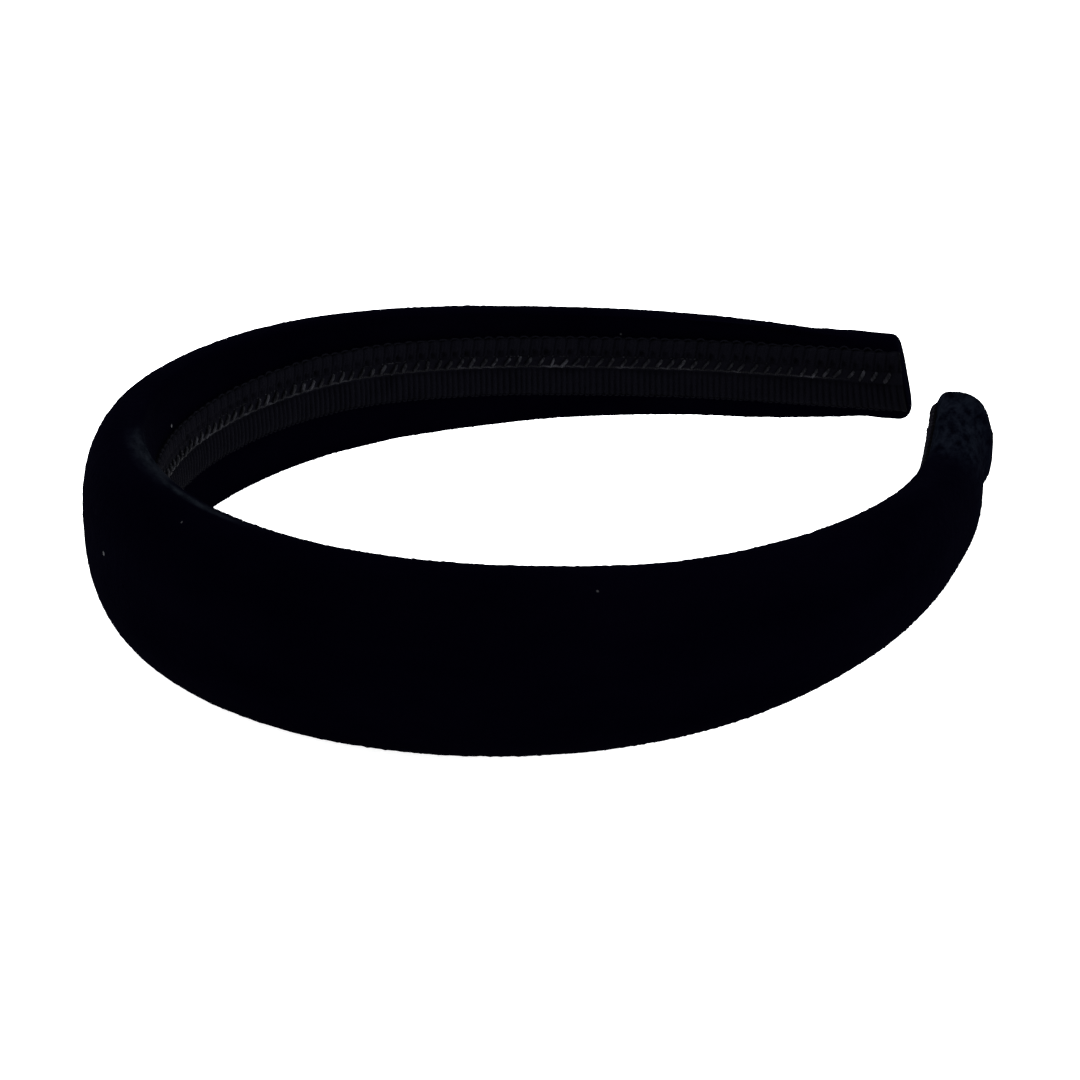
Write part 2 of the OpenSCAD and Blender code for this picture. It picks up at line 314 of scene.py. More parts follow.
def centre_of(points):
    return points.mean(0, keepdims=True)


def swept(rings, turn=False):
    """Points and faces of a solid swept through rings of points, closed by a fan at both ends."""
    rows, columns = rings.shape[:2]
    points = np.concatenate([rings.reshape(-1, 6), centre_of(rings[0]), centre_of(rings[-1])])
    faces = ring_faces(0, rows, columns, flip=turn)
    faces += fan_faces(0, columns, rows * columns, flip=not turn)
    faces += fan_faces((rows - 1) * columns, columns, rows * columns + 1, flip=turn)
    return points, faces


def tube(name, rings, turn=False):
    return new_object(name, *swept(rings, turn))


def shell(name, outer, inner, turn=False, joint_normals=None):
    """A skin with real thickness: open and rimmed at its first ring, closed over its last. The rim shades
    flat where it is a free edge, and smooth where it meets another half."""
    rows, columns = outer.shape[:2]
    inner_rows = inner.shape[0]
    bore = rows * columns
    ends = bore + inner_rows * columns
    points = np.concatenate(
        [outer.reshape(-1, 6), inner.reshape(-1, 6), centre_of(outer[-1]), centre_of(inner[-1])]
    )
    faces = ring_faces(0, rows, columns, flip=turn)
    faces += ring_faces(bore, inner_rows, columns, flip=not turn)
    faces += rim_faces(0, bore, columns, flip=not turn)
    faces += fan_faces((rows - 1) * columns, columns, ends, flip=turn)
    faces += fan_faces(bore + (inner_rows - 1) * columns, columns, ends + 1, flip=not turn)
    obj = new_object(name, points, faces, joint_normals)
    rim = (rows + inner_rows - 2) * columns
    for polygon in obj.data.polygons[rim:rim + columns]:
        polygon.use_smooth = joint_normals is not None
    return obj


def outward_normals(rings):
    """Unit normals over a grid of closed rings, pointing away from each ring's middle."""
    at = rings[..., :3]
    ahead = np.gradient(at, axis=0)
    around = np.roll(at, -1, 1) - np.roll(at, 1, 1)
    normals = np.cross(ahead, around)
    normals /= np.linalg.norm(normals, axis=2, keepdims=True) + 1e-12
    outward = ((at - at.mean(1, keepdims=True)) * normals).sum(2)
    flip = np.where(outward.sum(1) < 0, -1.0, 1.0)
    return normals * flip[:, None, None]


SIDES = (("right", 1), ("left", -1))


def halves(grid):
    """The right and left half of a grid over both_ways stations, each from the middle of the crown out."""
    middle = len(grid) // 2
    return {"right": grid[middle:], "left": grid[middle::-1]}


# ---------------------------------------------------------------- materials

def new_material(name, base, roughness, **inputs):
    material = bpy.data.materials.new(name)
    material.use_nodes = True
    shader = material.node_tree.nodes["Principled BSDF"]
    shader.inputs["Base Color"].default_value = (*base, 1)
    shader.inputs["Roughness"].default_value = roughness
    for key, value in inputs.items():
        shader.inputs[key.replace("_", " ")].default_value = value
    return material, material.node_tree, shader


def node(tree, kind, **inputs):
    made = tree.nodes.new(kind)
    for key, value in inputs.items():
        made.inputs[key].default_value = value
    return made


def fabric_place(tree, *scales):
    """Place on the fabric, in millimetres along the band, through it and across it, times the scales."""
    source = tree.nodes.new("ShaderNodeAttribute")
    source.attribute_name = FABRIC
    scale = tree.nodes.new("ShaderNodeVectorMath")
    scale.operation = "MULTIPLY"
    scale.inputs[1].default_value = scales
    tree.links.new(source.outputs["Vector"], scale.inputs[0])
    return scale.outputs[0]


def noise_of(tree, vector, scale, detail=2.0, roughness=0.5):
    made = node(tree, "ShaderNodeTexNoise", Scale=scale, Detail=detail, Roughness=roughness)
    tree.links.new(vector, made.inputs["Vector"])
    return made.outputs["Fac"]


def ramp_of(tree, value, stops):
    made = tree.nodes.new("ShaderNodeValToRGB")
    elements = made.color_ramp.elements
    while len(elements) < len(stops):
        elements.new(0.5)
    for element, (where, colour) in zip(elements, stops):
        element.position = where
        element.color = (*colour, 1)
    tree.links.new(value, made.inputs[0])
    return made.outputs[0]


def bump_of(tree, height, strength, distance, normal=None):
    made = node(tree, "ShaderNodeBump", Strength=strength, Distance=distance)
    tree.links.new(height, made.inputs["Height"])
    if normal is not None:
        tree.links.new(normal, made.inputs["Normal"])
    return made.outputs["Normal"]


def range_of(tree, value, low, high):
    made = node(tree, "ShaderNodeMapRange")
    made.inputs["To Min"].default_value = low
    made.inputs["To Max"].default_value = high
    tree.links.new(value, made.inputs["Value"])
    return made.outputs[0]


def weighted(tree, a, weight, b):
    made = tree.nodes.new("ShaderNodeMath")
    made.operation = "MULTIPLY_ADD"
    made.inputs[1].default_value = weight
    tree.links.new(a, made.inputs[0])
    tree.links.new(b, made.inputs[2])
    return made.outputs[0]


def within(tree, value, start, full):
    """0 before start, 1 from full on, and smooth between them."""
    made = node(tree, "ShaderNodeMapRange")
    made.interpolation_type = "SMOOTHSTEP"
    made.inputs["From Min"].default_value = start
    made.inputs["From Max"].default_value = full
    tree.links.new(value, made.inputs["Value"])
    return made.outputs[0]


def times(tree, first, *others):
    for other in others:
        made = tree.nodes.new("ShaderNodeMath")
        made.operation = "MULTIPLY"
        tree.links.new(first, made.inputs[0])
        tree.links.new(other, made.inputs[1])
        first = made.outputs[0]
    return first


def either(tree, first, second):
    made = tree.nodes.new("ShaderNodeMath")
    made.operation = "MAXIMUM"
    tree.links.new(first, made.inputs[0])
    tree.links.new(second, made.inputs[1])
    return made.outputs[0]


def fabric_axes(tree):
    split = tree.nodes.new("ShaderNodeSeparateXYZ")
    tree.links.new(fabric_place(tree, 1, 1, 1), split.inputs[0])
    return split.outputs["X"], split.outputs["Y"], split.outputs["Z"]


def crushed_and_sheen_tip(tree):
    """1 near the right tip and 0 elsewhere: the tip's lighter mottling, partly pile that handling has crushed
    and partly painted sheen.
    """
    along, depth, _ = fabric_axes(tree)
    less_outside = range_of(tree, within(tree, depth, 6.0, 3.4), 0.5, 1.0)
    return times(tree, within(tree, along, SHEEN_CRUSHED_FROM, SHEEN_CRUSHED_TO), less_outside)


def sheen_edge(tree):
    """1 on a painted sheen, where the pile is brushed up and would catch the light: a patch inside the left
    turn of the crown's upper edge, and a thin painted highlight line that runs on from it along that edge."""
    along, depth, across = fabric_axes(tree)
    patch = times(
        tree, within(tree, along, -30, -16), within(tree, along, 2, -12),
        within(tree, depth, 1.8, -0.8), within(tree, across, 9.8, 13.2),
    )
    line = times(
        tree, within(tree, along, -14, 0), within(tree, along, 22, 4),
        within(tree, depth, 0.7, 0.0), within(tree, depth, -1.0, -0.2), within(tree, across, 12.0, 13.4),
    )
    return either(tree, patch, line)


def lint(tree):
    """1 on the few specks of lint that the pile holds, and 0 elsewhere."""
    cells = node(tree, "ShaderNodeTexVoronoi", Scale=0.085)
    tree.links.new(fabric_place(tree, 1, 1, 1), cells.inputs["Vector"])
    return within(tree, cells.outputs["Distance"], 0.034, 0.02)


def mixed(tree, share, first, second):
    made = tree.nodes.new("ShaderNodeMix")
    made.data_type = "RGBA"
    tree.links.new(share, made.inputs[0])
    tree.links.new(first, made.inputs[6])
    tree.links.new(second, made.inputs[7])
    return made.outputs[2]


def velvet(name, dark, light, sheen_crushed_dark, sheen_crushed_light, sheen_edge_tones, sheen, tint):
    """Dense short pile: a fine nap, patches where it leans the other way, mottling near the right tip that is
    partly crushed pile and partly painted sheen, and a painted sheen at the left turn of the crown's upper
    edge.
    """
    material, tree, shader = new_material(
        name, dark, 0.95, Specular_IOR_Level=0.0,
        Sheen_Weight=sheen, Sheen_Roughness=0.3, Sheen_Tint=(*tint, 1),
    )
    nap = noise_of(tree, fabric_place(tree, 1, 1, 1), 2.6, 3, 0.62)
    brushed = noise_of(tree, fabric_place(tree, 0.05, 0.12, 0.12), 1, 3, 0.55)
    lumps = noise_of(tree, fabric_place(tree, 0.3, 1, 1), 0.85, 2, 0.6)
    tone = weighted(tree, nap, 0.4, range_of(tree, brushed, -0.2, 0.75))
    smooth = ramp_of(tree, tone, [(0.2, dark), (0.9, light)])
    tone = weighted(tree, nap, 0.35, range_of(tree, lumps, -0.3, 0.95))
    # Colours of the right tip's mottling: crushed pile and painted sheen together
    mottled_sheen = ramp_of(tree, tone, [(0.3, sheen_crushed_dark), (0.72, sheen_crushed_light)])
    # Colours of the painted sheen at the left turn of the crown's upper edge
    painted_sheen = ramp_of(tree, tone, [(0.3, sheen_edge_tones[0]), (0.72, sheen_edge_tones[1])])
    # Painted sheen: a lighter patch and line at the left turn of the crown's upper edge
    colour = mixed(tree, sheen_edge(tree), smooth, painted_sheen)
    # The right tip is mottled lighter: partly crushed pile, partly painted sheen
    colour = mixed(tree, crushed_and_sheen_tip(tree), colour, mottled_sheen)
    specks = ramp_of(tree, nap, [(0.3, (0.02, 0.02, 0.022)), (0.7, (0.07, 0.07, 0.074))])
    tree.links.new(mixed(tree, lint(tree), colour, specks), shader.inputs["Base Color"])
    tree.links.new(range_of(tree, brushed, 0.8, 1.0), shader.inputs["Roughness"])
    lean = bump_of(tree, brushed, 0.35, 0.0012)
    tree.links.new(bump_of(tree, nap, 0.7, 0.0002, lean), shader.inputs["Normal"])
    return material


def woven(name, dark, light, roughness, specular):
    """Gimp trim: fine yarn lines over the ribs that the mesh has, and painted shade where the braid stands
    low.
    """
    material, tree, shader = new_material(
        name, dark, roughness, Specular_IOR_Level=specular, Sheen_Weight=0.002, Sheen_Roughness=0.4,
    )
    lines = node(tree, "ShaderNodeTexWave", Scale=1.3, Distortion=1.5, Detail=2.0)
    lines.bands_direction = "Z"
    tree.links.new(fabric_place(tree, 1, 1, 1), lines.inputs["Vector"])
    fibre = noise_of(tree, fabric_place(tree, 2.5, 1.5, 1.2), 1.6, 3, 0.6)
    uneven = noise_of(tree, fabric_place(tree, 0.22, 0.3, 0.3), 1, 2)
    relief_shade = tree.nodes.new("ShaderNodeAttribute")
    relief_shade.attribute_name = RELIEF_SHADE
    tone = weighted(tree, fibre, 0.4, range_of(tree, uneven, -0.15, 0.4))
    # Painted shade: darker where the braid stands low, between ribs, in the holes and along its edges
    tone = weighted(tree, relief_shade.outputs["Fac"], 0.62, tone)
    tree.links.new(ramp_of(tree, tone, [(0.28, dark), (0.9, light)]), shader.inputs["Base Color"])
    tree.links.new(range_of(tree, fibre, roughness - 0.12, roughness + 0.18), shader.inputs["Roughness"])
    grain = bump_of(tree, fibre, 0.5, 0.0001)
    tree.links.new(bump_of(tree, lines.outputs["Fac"], 0.35, 0.00008, grain), shader.inputs["Normal"])
    return material


def thread(name, dark, light, roughness, specular):
    """Twisted yarn."""
    material, tree, shader = new_material(name, dark, roughness, Specular_IOR_Level=specular)
    twist = node(tree, "ShaderNodeTexWave", Scale=1.6, Distortion=0.6, Detail=1.0)
    twist.bands_direction = "DIAGONAL"
    tree.links.new(fabric_place(tree, 1, 1, 1), twist.inputs["Vector"])
    # Some stretches of loops lighter and others darker, at random along the row
    uneven_stretches = noise_of(tree, fabric_place(tree, 0.16, 0.3, 0.3), 1, 3, 0.65)
    tone = weighted(tree, twist.outputs["Fac"], 0.25, within(tree, uneven_stretches, 0.46, 0.74))
    tree.links.new(ramp_of(tree, tone, [(0.1, dark), (1.0, light)]), shader.inputs["Base Color"])
    tree.links.new(bump_of(tree, twist.outputs["Fac"], 0.6, 0.00006), shader.inputs["Normal"])
    return material


def grainy(name, dark, light, roughness, scale, bump):
    """Foam, moulded plastic, tape and dried glue: one grain at the given scale."""
    material, tree, shader = new_material(name, dark, roughness)
    grain = noise_of(tree, fabric_place(tree, 1, 1, 1), scale, 4, 0.6)
    tree.links.new(ramp_of(tree, grain, [(0.3, dark), (0.75, light)]), shader.inputs["Base Color"])
    tree.links.new(bump_of(tree, grain, 0.5, bump), shader.inputs["Normal"])
    return material


# How far along the right arm the tip's painted sheen and crushed pile reach
SHEEN_CRUSHED_FROM, SHEEN_CRUSHED_TO = 143.0, 156.0
INK, DEEP_BLUE = (0.00006, 0.00002, 0.0006), (0.0004, 0.00028, 0.0012)
# Colours of the right tip's mottling, partly crushed pile and partly painted sheen
SHEEN_CRUSHED_DARK, SHEEN_CRUSHED_LIGHT = (0.00015, 0.0002, 0.0008), (0.0019, 0.0025, 0.0042)
# Colours of the painted sheen at the left turn of the crown's upper edge
SHEEN_EDGE_TONES = ((0.0007, 0.0009, 0.0016), (0.0031, 0.0038, 0.0053))
BLUE_WHITE = (0.7, 0.8, 1.0)
VELVET = velvet("velvet", INK, DEEP_BLUE, SHEEN_CRUSHED_DARK, SHEEN_CRUSHED_LIGHT, SHEEN_EDGE_TONES, 0.002, BLUE_WHITE)
TIP_VELVET = velvet("tip_velvet", INK, DEEP_BLUE, SHEEN_CRUSHED_DARK, SHEEN_CRUSHED_LIGHT, SHEEN_EDGE_TONES, 0.002, BLUE_WHITE)
BRAID = woven("braid", (0.0001, 0.0001, 0.0004), (0.00165, 0.0016, 0.00265), 0.7, 0.004)
STITCH = thread("stitching", (0.0012, 0.0012, 0.0021), (0.0155, 0.0155, 0.019), 0.5, 0.03)
FOAM = grainy("foam", (0.2, 0.2, 0.21), (0.38, 0.38, 0.4), 0.95, 0.9, 0.0004)
CORE = grainy("core", (0.012, 0.012, 0.013), (0.022, 0.022, 0.024), 0.45, 0.4, 0.00005)
TAPE = grainy("foam_tape", (0.6, 0.58, 0.52), (0.78, 0.76, 0.7), 0.7, 1.5, 0.00004)
GLUE = grainy("glue", (0.42, 0.37, 0.22), (0.6, 0.54, 0.36), 0.3, 0.6, 0.0001)


# ---------------------------------------------------------------- replacing the CAD solids


def finish_half(obj, side, material, layer=None):
    """One half of a layer: it takes its material and stands for the CAD solids of both the crown and its arm.
    """
    obj.data.materials.append(material)
    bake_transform(obj)
    if layer:
        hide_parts(f"crown_{layer}", f"{side}_{layer}")
    return obj


# ---------------------------------------------------------------- tip caps' edge

def cap_start(angle):
    """Where a tip cap begins: near the tip at the sides, and further back in a tongue over the dome."""
    return ARM_LENGTH - CAP_SIDE - CAP_TONGUE * np.clip(np.cos(angle), 0, 1) ** 0.8


# ---------------------------------------------------------------- velvet cover, with a cloth simulation

COVER_SPACING = 0.44
COVER_RING = 120
SIM_SPACING = 3.4
SIM_RING = 40
SIM_FRAMES = 20
SIM_CAP = 0.5
UNDER_CAP, TUCKED_IN = -0.12, 0.2
NAP, CLUMP, CLUMP_RARITY = 0.035, 0.09, 0.82

# The cover is glued near the middle of its inner face, and keeps still near the caps
GLUED_TO, GLUE_FADE = 0.95, 0.5
STILL_REACH, STILL_FADE = 4.5, 4.0

# Shallow unevenness of the cover: (cells along, cells round, height)
DIMPLES = ((40, 6, 0.05), (130, 16, 0.02))


def sim_cover():
    """Puffs the cover out over its padding on a coarse grid, glued along its inner face. Returns how far each
    point moved, in millimetres, held to SIM_CAP."""
    stations = both_ways(np.concatenate([steps(ARM_LENGTH - TIP_ROUND, SIM_SPACING), tip_steps(0, 3)]))
    angles = ring(SIM_RING)
    rest = place(*band(stations[:, None], angles[None], -0.25))
    obj = tube("cover_sim", rest)
    pins = obj.vertex_groups.new(name="glued")
    glued = np.clip((-np.cos(angles) - 0.25) / 0.3, 0, 1)
    for column, weight in enumerate(glued):
        if weight > 0:
            pins.add([row * SIM_RING + column for row in range(len(stations))], float(weight), "REPLACE")
    count = len(stations) * SIM_RING
    tips = list(range(2 * SIM_RING)) + list(range(count - 2 * SIM_RING, count + 2))
    pins.add(tips, 1.0, "REPLACE")
    cloth = obj.modifiers.new("Cloth", "CLOTH").settings
    cloth.quality = 8
    cloth.mass = 0.3
    cloth.tension_stiffness = cloth.compression_stiffness = 30
    cloth.shear_stiffness = 15
    cloth.bending_stiffness = 2
    cloth.air_damping = 5
    cloth.use_pressure = True
    cloth.uniform_pressure_force = 4
    cloth.shrink_min = 0.01
    cloth.vertex_group_mass = "glued"
    cloth.effector_weights.gravity = 0
    scene = bpy.context.scene
    for number in range(1, SIM_FRAMES + 1):
        scene.frame_set(number)
    shaped = obj.evaluated_get(bpy.context.evaluated_depsgraph_get()).to_mesh()
    moved = np.zeros(len(shaped.vertices) * 3)
    shaped.vertices.foreach_get("co", moved)
    moved = moved.reshape(-1, 3)[:count].reshape(len(stations), SIM_RING, 3)
    scene.frame_set(1)
    mesh = obj.data
    bpy.data.objects.remove(obj)
    bpy.data.meshes.remove(mesh)
    shift = (moved - rest[..., :3]) / MM
    length = np.linalg.norm(shift, axis=2, keepdims=True)
    return stations, shift * np.minimum(1, SIM_CAP / np.maximum(length, 1e-9))


def resample(stations, field, to_stations, to_ring):
    """A coarse field over stations and a ring, brought to a finer grid, smooth round the ring."""
    rows = np.stack(
        [
            np.stack([np.interp(to_stations, stations, field[:, c, k]) for k in range(3)], -1)
            for c in range(field.shape[1])
        ],
        1,
    )
    at = np.arange(to_ring) * field.shape[1] / to_ring
    low = np.floor(at).astype(int)
    part = (at - low)[None, :, None]
    a, b, c, d = (rows[:, (low + k) % field.shape[1]] for k in (-1, 0, 1, 2))
    return b + 0.5 * part * (c - a + part * (2 * a - 5 * b + 4 * c - d + part * (3 * (b - c) + d - a)))


def pile(rows, columns):
    """How far the pile stands out at each point of a grid: a fine nap, with a few taller clumps."""
    nap = random.uniform(-NAP, NAP, (rows, columns))
    chance = random.uniform(0, 1, (rows, columns))
    clumps = np.clip(chance - CLUMP_RARITY, 0, None) / (1 - CLUMP_RARITY)
    return nap + CLUMP * clumps


def make_cover():
    stations = both_ways(np.concatenate([steps(ARM_LENGTH - TIP_ROUND, COVER_SPACING), tip_steps(0, 12)]))
    angles = ring(COVER_RING)
    rows = len(stations)
    free = smooth_step((np.cos(angles)[None] + GLUED_TO) / GLUE_FADE)
    past_start = np.abs(stations)[:, None] - cap_start(angles)[None]
    capped = smooth_step(past_start - TUCKED_IN)
    near_cap = smooth_step((past_start + STILL_REACH) / STILL_FADE)
    shallow = sum(soft_noise(rows, COVER_RING, along, around) * high for along, around, high in DIMPLES)
    nap = pile(rows, COVER_RING)
    grow = (shallow + nap) * free * (1 - capped) + UNDER_CAP * capped
    outer = place(*band(stations[:, None], angles[None], grow))
    sim_stations, shift = sim_cover()
    shift = shift - shift.mean(0, keepdims=True)
    shift = resample(sim_stations, shift, stations, COVER_RING)
    outer[..., :3] += shift * MM * (free * (1 - near_cap))[..., None]
    bore_stations = both_ways(np.concatenate([steps(ARM_LENGTH - TIP_ROUND, 3.0), tip_steps(-COVER_SKIN, 4)]))
    bore = place(*band(bore_stations[:, None], angles[None], -COVER_SKIN))
    joint_normals = outward_normals(outer)[rows // 2]
    outer_halves, bore_halves = halves(outer), halves(bore)
    for side, sign in SIDES:
        name = f"velvet_cover_{side}"
        obj = shell(name, outer_halves[side], bore_halves[side], turn=sign > 0, joint_normals=joint_normals)
        finish_half(obj, side, VELVET, "cover")


# ---------------------------------------------------------------- inner layers

def flat_strip(name, side, low, high, half, end, material, layer):
    """A flat layer between two depths, as wide as half(s) to each side."""
    sign = dict(SIDES)[side]
    stations = steps(end, 2.0)
    wide = half(stations)
    corners = ((low, -1), (high, -1), (high, 1), (low, 1))
    rings = np.stack([place(sign * stations, u, z * wide) for u, z in corners], 1)
    obj = tube(name, rings, turn=sign < 0)
    obj.data.polygons.foreach_set("use_smooth", [False] * len(obj.data.polygons))
    return finish_half(obj, side, material, layer)


def foam_pad(side, foam_low):
    sign = dict(SIDES)[side]
    grow = -COVER_SKIN - LAYER_GAP
    stations = steps(ARM_LENGTH - TIP_ROUND, 1.5)
    angles = np.linspace(-math.pi / 2 + 0.02, math.pi / 2 - 0.02, 33)
    s, u, z = band(sign * stations[:, None], angles[None], grow)
    u = np.maximum(u, foam_low + 0.01) + soft_noise(len(stations), 33, 60, 10, wrap=False) * 0.04
    foot = (half_width(stations) + grow - CORE_MARGIN / 2)[:, None]
    along = sign * stations[:, None]
    floor = np.full_like(foot, foam_low)
    rings = place(
        np.concatenate([along, s, along], 1), np.concatenate([floor, u, floor], 1),
        np.concatenate([-foot, z, foot], 1),
    )
    obj = tube(f"foam_pad_{side}", rings, turn=sign < 0)
    return finish_half(obj, side, FOAM, "foam")


def make_inner_layers():
    core_high = CORE_LOW + CORE_THICK
    tape_low = core_high + LAYER_GAP / 2
    foam_low = tape_low + TAPE_THICK + LAYER_GAP / 2
    for side, _ in SIDES:
        foam_pad(side, foam_low)
        flat_strip(
            f"core_{side}", side, CORE_LOW, core_high, lambda s: half_width(s) - CORE_MARGIN,
            ARM_LENGTH - CORE_END, CORE, "core",
        )
        flat_strip(
            f"foam_tape_{side}", side, tape_low, tape_low + TAPE_THICK,
            lambda s: half_width(s) - CORE_MARGIN - TAPE_INSET,
            ARM_LENGTH - CORE_END, TAPE, "foam_tape",
        )


# ---------------------------------------------------------------- ribbed braid with its stitching

BRAID_HALF = 5.0
BRAID_END = -0.25
RIGHT_BRAID_SHORT = 2.0
STITCH_PITCH = 2.04
RIB_PITCH = STITCH_PITCH / 2
BRAID_SAMPLE = 0.125
BRAID_COLUMNS = 36
ROW_LOW, ROW_HIGH = -0.25, 1.75
HOLE_Z = 2.65
GLUE_REACH = 3.3
GLUE_LOW, GLUE_HIGH, GLUE_COLUMNS = 0.015, 0.065, 9

# Heights above the cover: the row of stitches, the ribbed lobe (foot, dome, ribs) and the lobe of loops
ROW_HEIGHT = 0.55
LOW_FOOT, LOW_DOME, LOW_RIBS = 0.40, 0.12, 0.42
HIGH_FOOT, HIGH_DOME, HIGH_LOOPS, HIGH_YARN = 0.38, 0.16, 0.3, 0.14
HOLE_DEPTH, HOLE_ACROSS, HOLE_ALONG = 0.5, 0.55, 0.22
BACK_COLUMNS = 9

# The braid was laid by hand, so its middle wanders across the band: (s, z)
BRAID_LINE = (
    (-187, 0.75), (-160, 0.35), (-138, 0.3), (-115, 0.95), (-92, 1.6), (-65, 1.2),
    (-38, 0.7), (0, 0.3), (60, 0.5), (120, -0.2), (187, 0.3),
)
LINE_SOFTENING = 9


def braid_middle(s):
    line = np.array(BRAID_LINE, float)
    spread = np.linspace(-LINE_SOFTENING, LINE_SOFTENING, 7)
    return np.mean([np.interp(s + d, line[:, 0], line[:, 1]) for d in spread], 0)


def on_braid(s, z, height):
    """Points at z across the braid and height above the band's inner face."""
    across = z + braid_middle(s)
    slanted = shorten(s, tip_slant(s, np.clip(across / half_width(s), -1, 1)))
    return place(slanted, -(inner_depth(s, across) + height), across)


def make_braid():
    """Two lobes of wrapped yarn: a wide one with straight ribs, and one of loops with holes at their feet."""
    count = int(2 * (ARM_LENGTH - BRAID_END) / BRAID_SAMPLE / 2) * 2 + 1
    stations = np.linspace(-1, 1, count) * (ARM_LENGTH - BRAID_END)
    stations[count // 2] = 0.0
    z = np.linspace(-1, 1, BRAID_COLUMNS) * BRAID_HALF
    wander = soft_noise(count, 2, 170, 2, wrap=False)
    phase = np.pi * stations[:, None] / RIB_PITCH + 0.5 * wander[:, :1]
    lower = np.clip((ROW_LOW - z) / (ROW_LOW + BRAID_HALF), 0, 1)[None]
    upper = np.clip((z - ROW_HIGH) / (BRAID_HALF - ROW_HIGH), 0, 1)[None]
    straight = np.abs(np.cos(phase + 0.5 * lower)) ** 0.75
    loops = np.abs(np.cos(phase / 2 + 0.9 * upper)) ** 0.6
    fine = np.abs(np.cos(phase * 1.5 + 2 * upper)) ** 0.7
    dome_low = np.clip(1 - np.abs(2 * lower - 1) ** 3.2, 0, 1) ** 0.5
    dome_high = np.clip(1 - np.abs(2 * upper - 1) ** 3, 0, 1) ** 0.5
    in_row = (lower == 0) & (upper == 0)
    low_height = LOW_FOOT + dome_low * (LOW_DOME + LOW_RIBS * straight)
    high_height = HIGH_FOOT + dome_high * (HIGH_DOME + HIGH_LOOPS * loops + HIGH_YARN * fine)
    height = np.where(in_row, ROW_HEIGHT, np.where(lower > 0, low_height, high_height))
    from_hole = (phase / np.pi / 2 + 0.5) % 1 - 0.5
    pits = np.exp(-((z[None] - HOLE_Z) / HOLE_ACROSS) ** 2 - (from_hole / HOLE_ALONG) ** 2)
    height = height - HOLE_DEPTH * pits * (1 + 0.3 * wander[:, 1:2])
    height = height * (1 + 0.07 * soft_noise(count, BRAID_COLUMNS, 240, 6, wrap=False))
    ends = stations[-1] - np.where(stations > 0, RIGHT_BRAID_SHORT, 0)
    tucked = np.clip((ends - np.abs(stations)) / 1.0, 0, 1)[:, None]
    height = 0.1 + (height - 0.1) * np.sqrt(1 - (1 - tucked) ** 2)
    edge = np.abs(z / BRAID_HALF)[None] ** 8
    scallop = np.where(z[None] > 0, 0.045 * loops, 0.02 * straight)
    across = z[None] * (1 + edge * (scallop - 0.015 + 0.012 * wander[:, 1:2]))
    back_z = np.linspace(BRAID_HALF, -BRAID_HALF, BACK_COLUMNS)[None] * 0.985
    back_height = 0.08 - 0.09 * np.abs(back_z / BRAID_HALF) ** 6
    face = on_braid(stations[:, None], across, height)
    back = on_braid(stations[:, None], np.broadcast_to(back_z, (count, BACK_COLUMNS)), back_height)
    grid = np.concatenate([face, back], 1)
    joint_normals = outward_normals(grid[count // 2 - 2: count // 2 + 3])[2]
    # How much each point is spared the painted shade: low points least, the row of stitches fully
    shown = np.clip((height - 0.3) / 0.6, 0, 1)
    shown = np.where(in_row, 1.0, shown)
    relief_shade = np.concatenate([shown, np.zeros((count, BACK_COLUMNS))], 1)
    grids, relief_shades = halves(grid), halves(relief_shade)
    rows = {"left": count // 2 + 1, "right": count // 2 + 1 - round(RIGHT_BRAID_SHORT / BRAID_SAMPLE)}
    for side, sign in SIDES:
        kept = slice(rows[side])
        lobes = swept(grids[side][kept], turn=sign > 0)
        obj = joined(f"braid_{side}", [lobes, *edge_loops(sign)], joint_normals)
        add_relief_shade(obj, relief_shades[side][kept])
        finish_half(obj, side, BRAID, "braid")


def braid_end(sign):
    return ARM_LENGTH - BRAID_END - (RIGHT_BRAID_SHORT if sign > 0 else 0)


def edge_loops(sign):
    """Small loops of yarn along both edges of one half of the braid."""
    t = np.linspace(0, 1, 7)[None]
    loops = []
    for edge, pitch, reach in ((1, STITCH_PITCH, 0.42), (-1, RIB_PITCH, 0.2)):
        marks = np.arange(pitch, braid_end(sign) - 1.8, pitch)
        marks = sign * (marks + random.normal(0, 0.06, len(marks)))[:, None]
        reaches = reach * (1 + random.normal(0, 0.2, (len(marks), 1)))
        s = marks + pitch * 0.36 * np.cos(np.pi * t)
        z = edge * (BRAID_HALF - 0.2 + reaches * np.sin(np.pi * t))
        loops.append(yarn(on_braid(s, z, 0.42 + 0.1 * np.sin(np.pi * t)), 0.15, sides=5))
    return loops


def make_glue():
    stations = steps(ARM_LENGTH - CAP_SIDE - 1, 2.0)
    z = np.linspace(-GLUE_REACH, GLUE_REACH, GLUE_COLUMNS)
    z = np.concatenate([z, z[::-1]])
    height = np.repeat([GLUE_LOW, GLUE_HIGH], GLUE_COLUMNS)
    for side, sign in SIDES:
        across = np.broadcast_to(z, (len(stations), len(z)))
        rings = on_braid(sign * stations[:, None], across, height[None])
        obj = tube(f"glue_film_{side}", rings, turn=sign < 0)
        finish_half(obj, side, GLUE, "glue_film")


